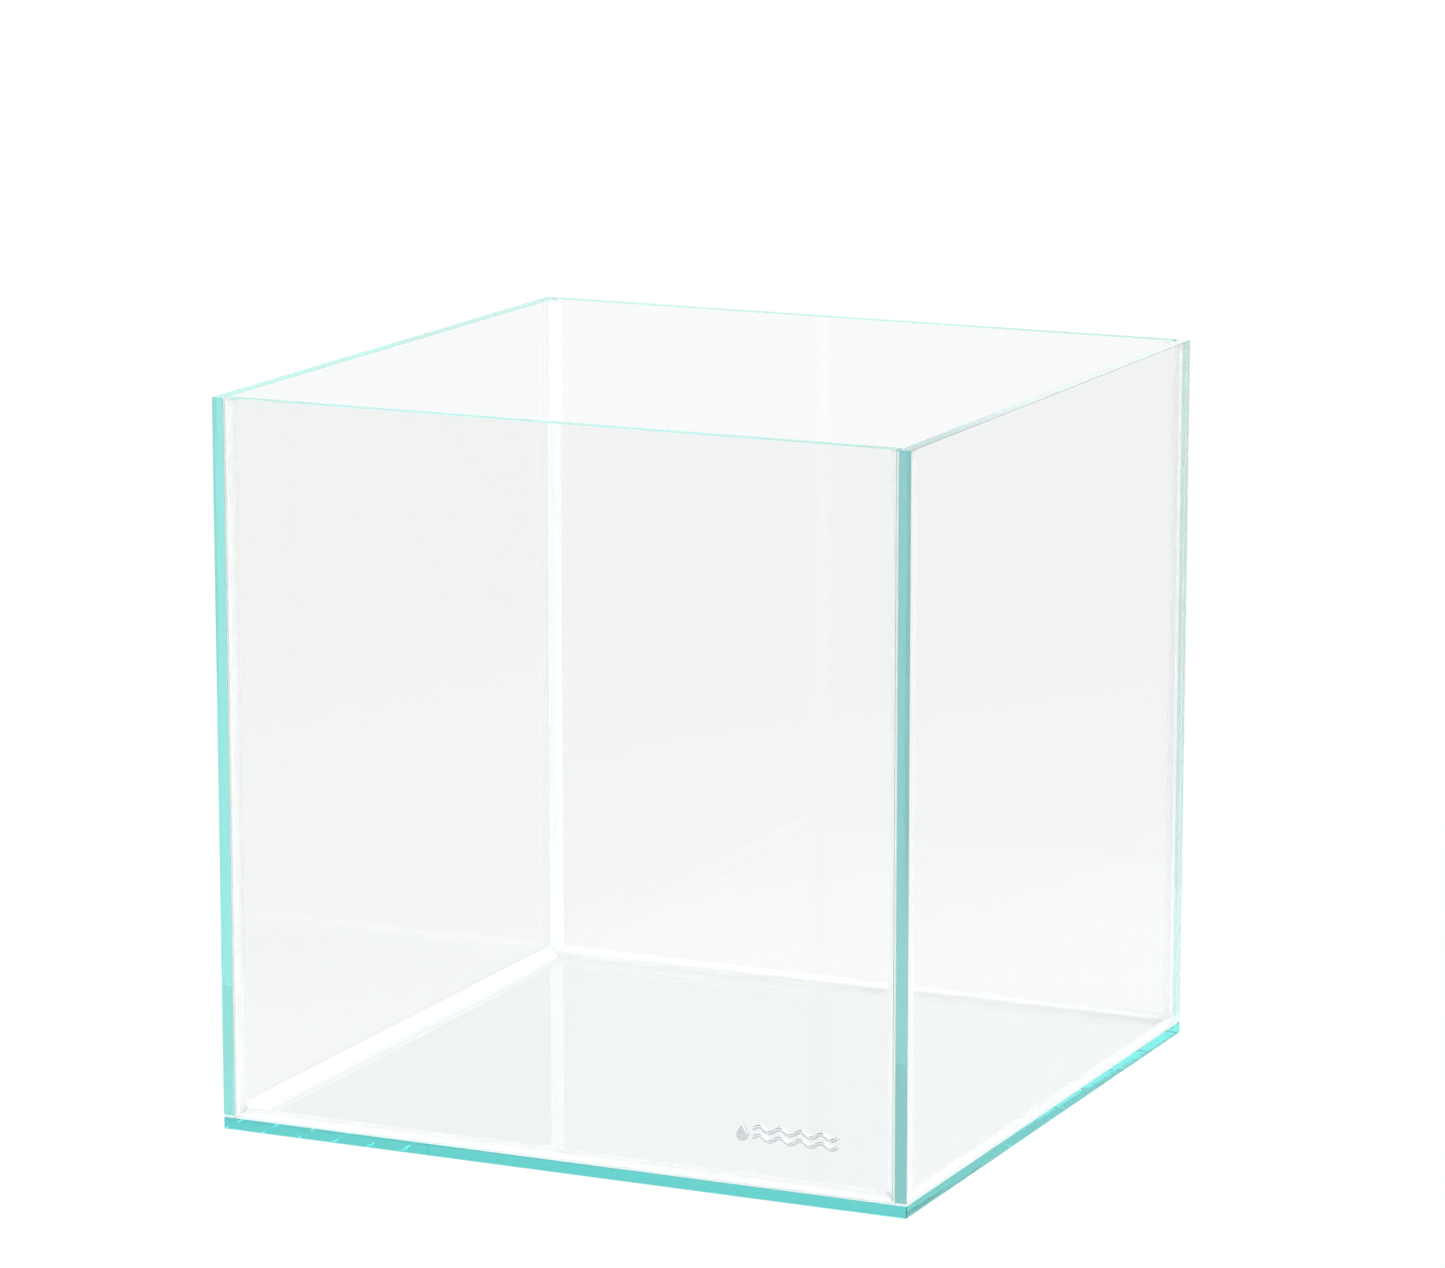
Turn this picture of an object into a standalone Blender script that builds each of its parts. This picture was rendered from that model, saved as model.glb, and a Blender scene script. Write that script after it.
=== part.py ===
"""Rimless glass aquarium cube: low-iron panes joined with clear silicone, and a small metal emblem.

Units are metres and +Z is up. The origin is the centre of the footprint, on the surface that the
tank stands on. +X runs to the right along the front pane, and +Y runs to the back.
"""

import math

import bmesh
import bpy
from mathutils import Vector

# Driving dimensions: the tank
TANK_WIDTH = 0.300  # over the outsides of the two side panes
TANK_DEPTH = 0.300  # over the outsides of the front and back panes
TANK_HEIGHT = 0.300  # from the underside of the base to the rim
WALL_THICKNESS = 0.005
BASE_THICKNESS = 0.005
ARRIS = 0.0004  # flat ground along every edge of a pane

# Driving dimensions: the silicone
JOINT_WIDTH = 0.001  # from pane to pane, across a structural joint
JOINT_TRIM = 0.0003  # a joint is trimmed back this far from the outside and from the rim
BEAD_LEG = 0.004  # how far a sealing bead runs along each of its two panes
BEAD_HOLLOW = 0.0006  # how far its tooled face dips below the straight line between its edges
BEAD_STEPS = 6  # straight runs that make up the tooled face; even, so that one point is on the diagonal
BEAD_BELOW_RIM = 0.0006

# Driving dimensions: the emblem on the front pane
EMBLEM_FROM_SIDE = 0.028  # from the right side of the tank to the emblem's right end
EMBLEM_RISE = 0.027  # from the underside of the base to the emblem's middle
EMBLEM_RELIEF = 0.0013
EMBLEM_ARRIS = 0.00025
DROPLET_RADIUS = 0.0025
DROPLET_HEIGHT = 0.0076
DROPLET_STEPS = 24
RIPPLE_FROM_DROPLET = 0.0018
RIPPLE_WAVES = 4
RIPPLE_WAVELENGTH = 0.0088
RIPPLE_SWING = 0.0010  # from the middle line to a crest
RIPPLE_STROKE = 0.0015
RIPPLE_PITCH = 0.0036  # between the middle lines of the upper and the lower ripple
RIPPLE_STEPS = 12  # straight runs in one wave
RIPPLE_END_STEPS = 6  # straight runs in each round end

# Clearance between pieces that touch
TOUCH = 0.0003

# Places that follow from the sizes above
SIDE_OUTER = TANK_WIDTH / 2
SIDE_INNER = SIDE_OUTER - WALL_THICKNESS
END_OUTER = TANK_DEPTH / 2
END_INNER = END_OUTER - WALL_THICKNESS
WALL_FOOT = BASE_THICKNESS + JOINT_WIDTH
END_PANE_HALF = SIDE_INNER - JOINT_WIDTH  # half the width of the front and back panes
BEAD_CORNER = Vector((SIDE_INNER - TOUCH, END_INNER - TOUCH, BASE_THICKNESS + TOUCH))
MITRE_SETBACK = TOUCH / math.sqrt(2)  # along a bead's run, so that mitred faces lie TOUCH apart

SHARP_ANGLE = math.radians(30)  # faces that meet at less than this are shaded as one curve

RIGHT = Vector((1, 0, 0))
BACK = Vector((0, 1, 0))
UP = Vector((0, 0, 1))

# Each finish: name, base colour, roughness, metallic
GLASS = ("low_iron_glass", (0.72, 0.93, 0.90), 0.02, 0.0)
JOINT_SILICONE = ("joint_silicone", (0.80, 0.86, 0.85), 0.35, 0.0)
BEAD_SILICONE = ("bead_silicone", (0.90, 0.93, 0.93), 0.40, 0.0)
EMBLEM_METAL = ("emblem_metal", (0.80, 0.81, 0.82), 0.12, 1.0)


def clear_scene():
    """Empties the scene, so that it holds only what this script makes."""
    for thing in list(bpy.data.objects):
        bpy.data.objects.remove(thing, do_unlink=True)


def material(finish):
    """The Principled material for a finish, made the first time it is asked for."""
    name, color, roughness, metallic = finish
    found = bpy.data.materials.get(name)
    if found:
        return found
    made = bpy.data.materials.new(name)
    made.use_nodes = True
    shader = made.node_tree.nodes["Principled BSDF"]
    shader.inputs["Base Color"].default_value = (*color, 1.0)
    shader.inputs["Roughness"].default_value = roughness
    shader.inputs["Metallic"].default_value = metallic
    return made


def add_object(name, bm, finish, parent):
    """Turns a bmesh into a named object with its finish, under its group's empty."""
    bmesh.ops.recalc_face_normals(bm, faces=bm.faces)
    mesh = bpy.data.meshes.new(name)
    bm.to_mesh(mesh)
    bm.free()
    mesh.shade_smooth()
    mesh.set_sharp_from_angle(angle=SHARP_ANGLE)
    mesh.materials.append(material(finish))
    thing = bpy.data.objects.new(name, mesh)
    thing.parent = parent
    bpy.context.scene.collection.objects.link(thing)
    return thing


def add_group(name):
    """An empty at the origin that holds the pieces of one kind together."""
    group = bpy.data.objects.new(name, None)
    group.empty_display_size = BEAD_LEG
    bpy.context.scene.collection.objects.link(group)
    return group


def block(low, high):
    """A bmesh box between two corners."""
    bm = bmesh.new()
    bmesh.ops.create_cube(bm, size=1.0)
    low, high = Vector(low), Vector(high)
    bmesh.ops.scale(bm, vec=high - low, verts=bm.verts)
    bmesh.ops.translate(bm, vec=(low + high) / 2, verts=bm.verts)
    return bm


def prism(outline, along):
    """A closed outline of points swept straight through the vector along."""
    bm = bmesh.new()
    face = bm.faces.new([bm.verts.new(point) for point in outline])
    swept = bmesh.ops.extrude_face_region(bm, geom=[face])["geom"]
    moved = [item for item in swept if isinstance(item, bmesh.types.BMVert)]
    bmesh.ops.translate(bm, vec=along, verts=moved)
    return bm


def soften(bm, edges, width):
    """Takes the given edges off with a flat that starts width from each."""
    bmesh.ops.bevel(
        bm, geom=edges, offset=width, offset_type="OFFSET", segments=1, profile=0.5, affect="EDGES"
    )


def add_pane(name, low, high, parent):
    """One pane of glass, with a flat arris ground along each edge."""
    bm = block(low, high)
    soften(bm, bm.edges[:], ARRIS)
    return add_object(name, bm, GLASS, parent)


def add_panes(parent):
    """The base, the side panes that stand on it, and the front and back panes between those."""
    add_pane("base_panel", (-SIDE_OUTER, -END_OUTER, 0), (SIDE_OUTER, END_OUTER, BASE_THICKNESS), parent)
    for name, side in (("left_panel", -1), ("right_panel", 1)):
        near, far = sorted((side * SIDE_INNER, side * SIDE_OUTER))
        add_pane(name, (near, -END_OUTER, WALL_FOOT), (far, END_OUTER, TANK_HEIGHT), parent)
    for name, end in (("front_panel", -1), ("back_panel", 1)):
        near, far = sorted((end * END_INNER, end * END_OUTER))
        add_pane(name, (-END_PANE_HALF, near, WALL_FOOT), (END_PANE_HALF, far, TANK_HEIGHT), parent)


def add_upright_joints(parent):
    """The structural joints between the ends of the front and back panes and the side panes."""
    for end_name, end in (("front", -1), ("back", 1)):
        for side_name, side in (("left", -1), ("right", 1)):
            x_low, x_high = sorted((side * (END_PANE_HALF + TOUCH), side * (SIDE_INNER - TOUCH)))
            y_low, y_high = sorted((end * END_INNER, end * (END_OUTER - JOINT_TRIM)))
            bm = block((x_low, y_low, WALL_FOOT), (x_high, y_high, TANK_HEIGHT - JOINT_TRIM))
            add_object(f"joint_{end_name}_{side_name}", bm, JOINT_SILICONE, parent)


def add_base_joints(parent):
    """The structural joints between the base and the feet of the upright panes."""
    bottom = BASE_THICKNESS + TOUCH
    top = WALL_FOOT - TOUCH
    end_reach = END_OUTER - JOINT_TRIM
    for name, side in (("left", -1), ("right", 1)):
        near, far = sorted((side * SIDE_INNER, side * (SIDE_OUTER - JOINT_TRIM)))
        bm = block((near, -end_reach, bottom), (far, end_reach, top))
        add_object(f"joint_base_{name}", bm, JOINT_SILICONE, parent)
    side_reach = SIDE_INNER - TOUCH
    for name, end in (("front", -1), ("back", 1)):
        near, far = sorted((end * END_INNER, end * end_reach))
        bm = block((-side_reach, near, bottom), (side_reach, far, top))
        add_object(f"joint_base_{name}", bm, JOINT_SILICONE, parent)


def bead_section():
    """A bead's section as (u, v) distances from its corner: the corner, then the hollow tooled face."""
    half_chord = BEAD_LEG / math.sqrt(2)
    radius = (half_chord**2 + BEAD_HOLLOW**2) / (2 * BEAD_HOLLOW)
    sweep = math.asin(half_chord / radius)
    # The hollow's centre lies on the corner's diagonal, outside the bead.
    centre = (half_chord + radius - BEAD_HOLLOW) / math.sqrt(2)
    points = [(0.0, 0.0)]
    for step in range(BEAD_STEPS + 1):
        angle = math.radians(225) + sweep * (2 * step / BEAD_STEPS - 1)
        points.append((centre + radius * math.sin(angle), centre + radius * math.cos(angle)))
    return points


def add_bead(name, corner, run, u_axis, v_axis, length, mitred_far_end, parent):
    """A sealing bead that starts in its corner and goes along run.

    Three beads meet in each bottom corner of the tank. A mitred end slopes up from the corner at
    45 degrees towards both of the bead's neighbours, so it has two faces, which meet on the
    section's diagonal.
    """
    bm = bmesh.new()
    verts = [bm.verts.new(corner + u_axis * u + v_axis * v) for u, v in bead_section()]
    middle = 1 + BEAD_STEPS // 2
    halves = [bm.faces.new(verts[: middle + 1]), bm.faces.new([verts[0], *verts[middle:]])]
    swept = bmesh.ops.extrude_face_region(bm, geom=halves)["geom"]
    moved = [item for item in swept if isinstance(item, bmesh.types.BMVert)]
    bmesh.ops.translate(bm, vec=run * length, verts=moved)
    for vert in bm.verts:
        place = vert.co - corner
        setback = run * (max(place.dot(u_axis), place.dot(v_axis)) + MITRE_SETBACK)
        if place.dot(run) < length / 2:
            vert.co += setback
        elif mitred_far_end:
            vert.co -= setback
    return add_object(name, bm, BEAD_SILICONE, parent)


def add_upright_beads(parent):
    """The sealing bead inside each upright corner, mitred at its foot."""
    for end_name, end in (("front", -1), ("back", 1)):
        for side_name, side in (("left", -1), ("right", 1)):
            corner = Vector((side * BEAD_CORNER.x, end * BEAD_CORNER.y, BEAD_CORNER.z))
            length = TANK_HEIGHT - BEAD_BELOW_RIM - corner.z
            name = f"bead_{end_name}_{side_name}"
            add_bead(name, corner, UP, -side * RIGHT, -end * BACK, length, False, parent)


def add_base_beads(parent):
    """The sealing bead inside each bottom edge, mitred at both ends."""
    for name, side in (("left", -1), ("right", 1)):
        start = Vector((side * BEAD_CORNER.x, -BEAD_CORNER.y, BEAD_CORNER.z))
        length = 2 * BEAD_CORNER.y
        add_bead(f"bead_base_{name}", start, BACK, -side * RIGHT, UP, length, True, parent)
    for name, end in (("front", -1), ("back", 1)):
        start = Vector((-BEAD_CORNER.x, end * BEAD_CORNER.y, BEAD_CORNER.z))
        length = 2 * BEAD_CORNER.x
        add_bead(f"bead_base_{name}", start, RIGHT, -end * BACK, UP, length, True, parent)


def droplet_outline():
    """A drop with a round foot and a point at the top, as (x, z) about the middle of its height."""
    centre = DROPLET_RADIUS - DROPLET_HEIGHT / 2
    tip = DROPLET_HEIGHT / 2
    # The straight flanks leave the circle where they are tangent to it.
    tangent = math.acos(DROPLET_RADIUS / (tip - centre))
    points = [(0.0, tip)]
    for step in range(DROPLET_STEPS + 1):
        angle = tangent + (2 * math.pi - 2 * tangent) * step / DROPLET_STEPS
        points.append((DROPLET_RADIUS * math.sin(angle), centre + DROPLET_RADIUS * math.cos(angle)))
    return points


def ripple_edge(distance, offset):
    """The point that lies offset to the left of a ripple's middle line, distance along it."""
    turn = 2 * math.pi / RIPPLE_WAVELENGTH
    height = RIPPLE_SWING * math.sin(turn * distance)
    slope = RIPPLE_SWING * turn * math.cos(turn * distance)
    size = math.hypot(1.0, slope)
    return distance - offset * slope / size, height + offset / size


def ripple_cap(distance, direction):
    """The inner points of the round end of a ripple; direction is 1 at the right end, -1 at the left."""
    slope = RIPPLE_SWING * 2 * math.pi / RIPPLE_WAVELENGTH
    heading = math.atan(slope) + (0 if direction > 0 else math.pi)
    half = RIPPLE_STROKE / 2
    points = []
    for step in range(1, RIPPLE_END_STEPS):
        angle = heading - math.pi / 2 + math.pi * step / RIPPLE_END_STEPS
        points.append((distance + half * math.cos(angle), half * math.sin(angle)))
    return points


def ripple_outline():
    """A wavy stroke with round ends, as (x, z) from the left end of its middle line."""
    length = RIPPLE_WAVES * RIPPLE_WAVELENGTH
    count = RIPPLE_WAVES * RIPPLE_STEPS
    half = RIPPLE_STROKE / 2
    stations = [length * step / count for step in range(count + 1)]
    lower = [ripple_edge(station, -half) for station in stations]
    upper = [ripple_edge(station, half) for station in reversed(stations)]
    return lower + ripple_cap(length, 1) + upper + ripple_cap(0.0, -1)


def add_relief(name, outline, middle_x, middle_z, parent):
    """A raised metal shape on the front pane, with its front edge softened."""
    back_y = -END_OUTER - TOUCH
    front_y = back_y - EMBLEM_RELIEF
    points = [(middle_x + x, back_y, middle_z + z) for x, z in outline]
    bm = prism(points, Vector((0, front_y - back_y, 0)))
    middle_y = (back_y + front_y) / 2
    front_edges = [edge for edge in bm.edges if all(vert.co.y < middle_y for vert in edge.verts)]
    soften(bm, front_edges, EMBLEM_ARRIS)
    return add_object(name, bm, EMBLEM_METAL, parent)


def add_emblem(parent):
    """A droplet and two ripples, as a generic sign for water."""
    ripple_right = SIDE_OUTER - EMBLEM_FROM_SIDE - RIPPLE_STROKE / 2
    ripple_left = ripple_right - RIPPLE_WAVES * RIPPLE_WAVELENGTH
    for name, rise in (("upper", RIPPLE_PITCH / 2), ("lower", -RIPPLE_PITCH / 2)):
        middle_z = EMBLEM_RISE + rise
        add_relief(f"emblem_ripple_{name}", ripple_outline(), ripple_left, middle_z, parent)
    droplet_x = ripple_left - RIPPLE_STROKE / 2 - RIPPLE_FROM_DROPLET - DROPLET_RADIUS
    add_relief("emblem_droplet", droplet_outline(), droplet_x, EMBLEM_RISE, parent)


def main():
    clear_scene()
    add_panes(add_group("glass"))
    silicone = add_group("silicone")
    add_upright_joints(silicone)
    add_base_joints(silicone)
    add_upright_beads(silicone)
    add_base_beads(silicone)
    add_emblem(add_group("emblem"))


main()
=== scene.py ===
"""Looks of a rimless glass aquarium cube: clear panes, silicone seams and a small metal emblem.

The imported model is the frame. Every size and place that belongs to the tank is read from it, so the
pieces made here lie exactly where the solids are. Units are metres and +Z is up; +X runs to the
right along the front pane and +Y to the back.
"""

import logging
import math
from dataclasses import dataclass, field
from enum import Enum

import bmesh
import bpy
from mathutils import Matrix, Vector


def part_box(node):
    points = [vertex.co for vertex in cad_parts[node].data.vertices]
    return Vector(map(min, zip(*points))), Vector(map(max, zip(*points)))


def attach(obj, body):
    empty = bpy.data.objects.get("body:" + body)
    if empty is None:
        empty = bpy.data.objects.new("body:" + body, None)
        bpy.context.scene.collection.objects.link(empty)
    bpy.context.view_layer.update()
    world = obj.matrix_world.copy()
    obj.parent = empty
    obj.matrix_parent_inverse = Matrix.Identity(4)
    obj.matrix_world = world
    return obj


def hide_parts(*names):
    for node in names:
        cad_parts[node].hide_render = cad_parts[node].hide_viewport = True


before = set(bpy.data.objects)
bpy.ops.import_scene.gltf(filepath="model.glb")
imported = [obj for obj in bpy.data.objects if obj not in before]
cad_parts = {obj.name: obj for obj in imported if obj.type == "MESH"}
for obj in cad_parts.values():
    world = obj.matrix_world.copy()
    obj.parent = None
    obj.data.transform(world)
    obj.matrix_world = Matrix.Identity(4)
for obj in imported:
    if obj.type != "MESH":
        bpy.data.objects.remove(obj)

LOG = logging.getLogger("aquarium")

ROOT_BODY = "root"

RIGHT = Vector((1.0, 0.0, 0.0))
BACK = Vector((0.0, 1.0, 0.0))
UP = Vector((0.0, 0.0, 1.0))

SocketOrNumber = bpy.types.NodeSocket | float

FILM = 0.00003  # clearance between silicone and glass, so that each shows its own surface

FACING = 0.9  # two unit vectors with a dot product above this look the same way
SILICONE_SMOOTH = math.radians(40)  # silicone faces that meet at less than this are shaded as one
METAL_SMOOTH = math.radians(60)  # the same, for the emblem


class Side(Enum):
    """A side of the tank, as the sign of its X."""

    LEFT = -1
    RIGHT = 1


class End(Enum):
    """An end of the tank, as the sign of its Y."""

    FRONT = -1
    BACK = 1


class Thin(Enum):
    """The axis that a pane is thin along."""

    X = 0
    Y = 1
    Z = 2


# ---------------------------------------------------------------------------------------------
# Shader building
# ---------------------------------------------------------------------------------------------


class ShaderTree:
    """A node tree that is being wired."""

    def __init__(self, tree: bpy.types.NodeTree) -> None:
        """Takes an empty tree.

        Args:
            tree: the material's, world's or group's node tree.
        """
        self.tree = tree

    def add(self, kind: str, inputs: dict | None = None, **settings: object) -> bpy.types.Node:
        """Adds a node, sets its properties, and sets or links its inputs.

        Args:
            kind: the node's Blender type name, such as ShaderNodeTexNoise.
            inputs: input name or index to a plain value, or to the output socket that feeds it.
            **settings: node properties, such as operation.

        Returns:
            The new node.
        """
        node = self.tree.nodes.new(kind)
        for name, value in settings.items():
            setattr(node, name, value)
        for key, value in (inputs or {}).items():
            if isinstance(value, bpy.types.NodeSocket):
                self.tree.links.new(value, node.inputs[key])
            else:
                node.inputs[key].default_value = value
        return node

    def math(
        self,
        operation: str,
        first: SocketOrNumber,
        second: SocketOrNumber = 0.0,
        third: SocketOrNumber = 0.0,
    ) -> bpy.types.NodeSocket:
        """Adds a Math node and returns its output socket."""
        inputs = {0: first, 1: second, 2: third}
        return self.add("ShaderNodeMath", inputs, operation=operation).outputs[0]

    def remap(
        self,
        value: SocketOrNumber,
        low: float,
        high: float,
        out_low: SocketOrNumber,
        out_high: SocketOrNumber,
    ) -> bpy.types.NodeSocket:
        """Maps a value smoothly from one range to another.

        Args:
            value: the value or the socket to map.
            low: where the range that it comes from starts.
            high: where that range ends.
            out_low: the value or socket that low becomes.
            out_high: the value or socket that high becomes.

        Returns:
            The output socket.
        """
        inputs = {"Value": value, "From Min": low, "From Max": high, "To Min": out_low, "To Max": out_high}
        node = self.add("ShaderNodeMapRange", inputs, interpolation_type="SMOOTHSTEP")
        return node.outputs["Result"]

    def group(self, made: bpy.types.NodeTree, inputs: dict) -> bpy.types.Node:
        """Places a shader node group.

        Args:
            made: the group's node tree.
            inputs: input name to a value or socket.

        Returns:
            The group node.
        """
        return self.add("ShaderNodeGroup", inputs, node_tree=made)

    def link(self, source: bpy.types.NodeSocket, node: bpy.types.Node, name: str) -> None:
        """Links an output socket to a node's named input."""
        self.tree.links.new(source, node.inputs[name])


class EffectLibrary:
    """The surface effects that more than one finish uses, each a shader node group made once."""

    def __init__(self) -> None:
        """Builds every group."""
        self.marks = self._handling_marks()
        self.lines = self._polishing_lines()
        self.skin = self._cast_skin()

    @staticmethod
    def _start(name: str, inputs: dict[str, tuple[str, float]], outputs: list[str]) -> ShaderTree:
        """Starts a group with its named sockets.

        Args:
            name: the group's name.
            inputs: input name to (kind, default); kind is Vector or Float.
            outputs: names of the float outputs.

        Returns:
            The tree to wire.
        """
        tree = bpy.data.node_groups.new(name, "ShaderNodeTree")
        for label, (kind, default) in inputs.items():
            socket = tree.interface.new_socket(label, in_out="INPUT", socket_type=f"NodeSocket{kind}")
            if kind == "Float":
                socket.default_value = default
        for label in outputs:
            tree.interface.new_socket(label, in_out="OUTPUT", socket_type="NodeSocketFloat")
        return ShaderTree(tree)

    def _handling_marks(self) -> bpy.types.NodeTree:
        """Faint smears that a cloth and fingers leave: large soft patches, broken up by fine wipes."""
        shader = self._start(
            "handling_marks",
            {"Vector": ("Vector", 0), "Patch Scale": ("Float", 9), "Wipe Scale": ("Float", 60)},
            ["Mask"],
        )
        given = shader.add("NodeGroupInput").outputs
        patches = shader.add(
            "ShaderNodeTexNoise",
            {"Vector": given["Vector"], "Scale": given["Patch Scale"], "Detail": 3.0, "Distortion": 0.6},
        )
        # Wipes run on a slant, because a hand swings as it wipes.
        swing = shader.add(
            "ShaderNodeMapping",
            {"Vector": given["Vector"], "Rotation": (0.5, 0.9, 0.3), "Scale": (1, 6, 1)},
        )
        wipes = shader.add(
            "ShaderNodeTexNoise",
            {"Vector": swing.outputs[0], "Scale": given["Wipe Scale"], "Detail": 4.0, "Roughness": 0.6},
        )
        soft = shader.remap(patches.outputs["Fac"], 0.48, 0.72, 0.0, 1.0)
        fine = shader.remap(wipes.outputs["Fac"], 0.40, 0.70, 0.25, 1.0)
        mask = shader.math("MULTIPLY", soft, fine)
        shader.add("NodeGroupOutput", {"Mask": mask})
        return shader.tree

    def _polishing_lines(self) -> bpy.types.NodeTree:
        """Fine lines that a polishing belt leaves along an edge or a face of metal."""
        shader = self._start(
            "polishing_lines",
            {
                "Vector": ("Vector", 0),
                "Across": ("Float", 0),
                "Lines": ("Float", 9000),
                "Drift": ("Float", 14),
            },
            ["Height"],
        )
        given = shader.add("NodeGroupInput").outputs
        wander = shader.add(
            "ShaderNodeTexNoise", {"Vector": given["Vector"], "Scale": given["Drift"], "Detail": 1.0}
        )
        across = shader.math("MULTIPLY", given["Across"], given["Lines"])
        shifted = shader.math("ADD", across, wander.outputs["Fac"])
        fine = shader.add(
            "ShaderNodeTexNoise", {"W": shifted, "Scale": 1.0, "Detail": 3.0}, noise_dimensions="1D"
        )
        shader.add("NodeGroupOutput", {"Height": fine.outputs["Fac"]})
        return shader.tree

    def _cast_skin(self) -> bpy.types.NodeTree:
        """The uneven skin of a soft or cast surface: slow waves with a little fine grain on them."""
        shader = self._start(
            "cast_skin",
            {"Vector": ("Vector", 0), "Wave Scale": ("Float", 120), "Grain": ("Float", 0.15)},
            ["Height"],
        )
        given = shader.add("NodeGroupInput").outputs
        waves = shader.add(
            "ShaderNodeTexNoise", {"Vector": given["Vector"], "Scale": given["Wave Scale"], "Detail": 2.0}
        )
        fine_scale = shader.math("MULTIPLY", given["Wave Scale"], 14.0)
        grain = shader.add(
            "ShaderNodeTexNoise", {"Vector": given["Vector"], "Scale": fine_scale, "Detail": 2.0}
        )
        height = shader.math("MULTIPLY_ADD", grain.outputs["Fac"], given["Grain"], waves.outputs["Fac"])
        shader.add("NodeGroupOutput", {"Height": height})
        return shader.tree


def new_material(name: str) -> tuple[bpy.types.Material, ShaderTree, bpy.types.Node]:
    """Starts a material.

    Args:
        name: the material's name.

    Returns:
        The material, its tree and its Principled BSDF.
    """
    made = bpy.data.materials.new(name)
    made.use_nodes = True
    return made, ShaderTree(made.node_tree), made.node_tree.nodes["Principled BSDF"]


# ---------------------------------------------------------------------------------------------
# Finishes
# ---------------------------------------------------------------------------------------------


@dataclass(frozen=True)
class GlassFinish:
    """Low-iron float glass: clear through a face, pale aqua along a cut edge, where the path is long."""

    name: str
    tint: tuple[float, float, float]
    depth_of_tint: float  # absorption density, per metre
    face_tint: tuple[float, float, float] = (0.977, 0.968, 0.968)
    ior: float = 1.52
    roughness: float = 0.0
    rim_glint: float = 0.0  # weight of the coat on a fire-polished rim
    rim_roughness: float = 0.03
    edge_relief: float = 0.000006  # depth of the polishing lines
    edge_lines: float = 500.0
    edge_drift: float = 10.0
    float_relief: float = 0.000003  # depth of the float's slow waves
    float_waves: float = 14.0

    def build(self, effects: EffectLibrary) -> bpy.types.Material:
        """Makes the material.

        Args:
            effects: the shared groups.

        Returns:
            The material, which reads the pane's cut_edge, rim and across attributes.
        """
        made, shader, glass = new_material(self.name)
        place = shader.add("ShaderNodeTexCoord").outputs["Object"]
        edge = shader.add("ShaderNodeAttribute", attribute_name="cut_edge").outputs["Fac"]
        across = shader.add("ShaderNodeAttribute", attribute_name="across").outputs["Fac"]
        lines = shader.group(
            effects.lines,
            {"Vector": place, "Across": across, "Lines": self.edge_lines, "Drift": self.edge_drift},
        )
        draw = shader.add("ShaderNodeTexNoise", {"Vector": place, "Scale": self.float_waves, "Detail": 1.0})
        ground = shader.math("MULTIPLY", lines.outputs["Height"], self.edge_relief)
        drawn = shader.math("MULTIPLY", draw.outputs["Fac"], self.float_relief)
        height = shader.add("ShaderNodeMix", {"Factor": edge, "A": drawn, "B": ground}).outputs["Result"]
        bump = shader.add("ShaderNodeBump", {"Height": height, "Distance": 1.0, "Strength": 1.0})
        glass.inputs["Base Color"].default_value = (*self.face_tint, 1.0)
        glass.inputs["Transmission Weight"].default_value = 1.0
        glass.inputs["IOR"].default_value = self.ior
        glass.inputs["Roughness"].default_value = self.roughness
        # A fire-polished rim glints more than a ground edge; handling has dulled its front end.
        rim = shader.add("ShaderNodeAttribute", attribute_name="rim").outputs["Fac"]
        depth = shader.add("ShaderNodeSeparateXYZ", {0: place}).outputs["Y"]
        dulled = shader.remap(depth, -0.16, 0.0, 0.1 * self.rim_glint, self.rim_glint)
        glass.inputs["Coat Roughness"].default_value = self.rim_roughness
        shader.link(shader.math("MULTIPLY", rim, dulled), glass, "Coat Weight")
        shader.link(bump.outputs["Normal"], glass, "Normal")
        shader.link(bump.outputs["Normal"], glass, "Coat Normal")
        body = shader.add(
            "ShaderNodeVolumeAbsorption", {"Color": (*self.tint, 1.0), "Density": self.depth_of_tint}
        )
        shader.link(body.outputs["Volume"], made.node_tree.nodes["Material Output"], "Volume")
        return made


@dataclass(frozen=True)
class SiliconeFinish:
    """Clear cured silicone: lets light through, with a faint milkiness and a tooled skin."""

    name: str
    clear_colour: tuple[float, float, float]
    milky_colour: tuple[float, float, float]
    transmission: float
    roughness: float
    wave_scale: float
    relief: float
    ior: float = 1.41
    cloud_scale: float = 45.0
    grain: float = 0.12

    def build(self, effects: EffectLibrary) -> bpy.types.Material:
        """Makes the material.

        Args:
            effects: the shared groups.

        Returns:
            The material.
        """
        made, shader, gum = new_material(self.name)
        place = shader.add("ShaderNodeTexCoord").outputs["Object"]
        cloud = shader.add("ShaderNodeTexNoise", {"Vector": place, "Scale": self.cloud_scale, "Detail": 3.0})
        milk = shader.remap(cloud.outputs["Fac"], 0.35, 0.70, 0.0, 1.0)
        colour = shader.add(
            "ShaderNodeMix",
            {"Factor": milk, "A": (*self.clear_colour, 1.0), "B": (*self.milky_colour, 1.0)},
            data_type="RGBA",
        )
        skin = shader.group(
            effects.skin, {"Vector": place, "Wave Scale": self.wave_scale, "Grain": self.grain}
        )
        bump = shader.add(
            "ShaderNodeBump", {"Height": skin.outputs["Height"], "Distance": self.relief, "Strength": 0.6}
        )
        gum.inputs["Transmission Weight"].default_value = self.transmission
        gum.inputs["IOR"].default_value = self.ior
        gum.inputs["Roughness"].default_value = self.roughness
        shader.link(colour.outputs["Result"], gum, "Base Color")
        shader.link(bump.outputs["Normal"], gum, "Normal")
        return made


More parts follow.
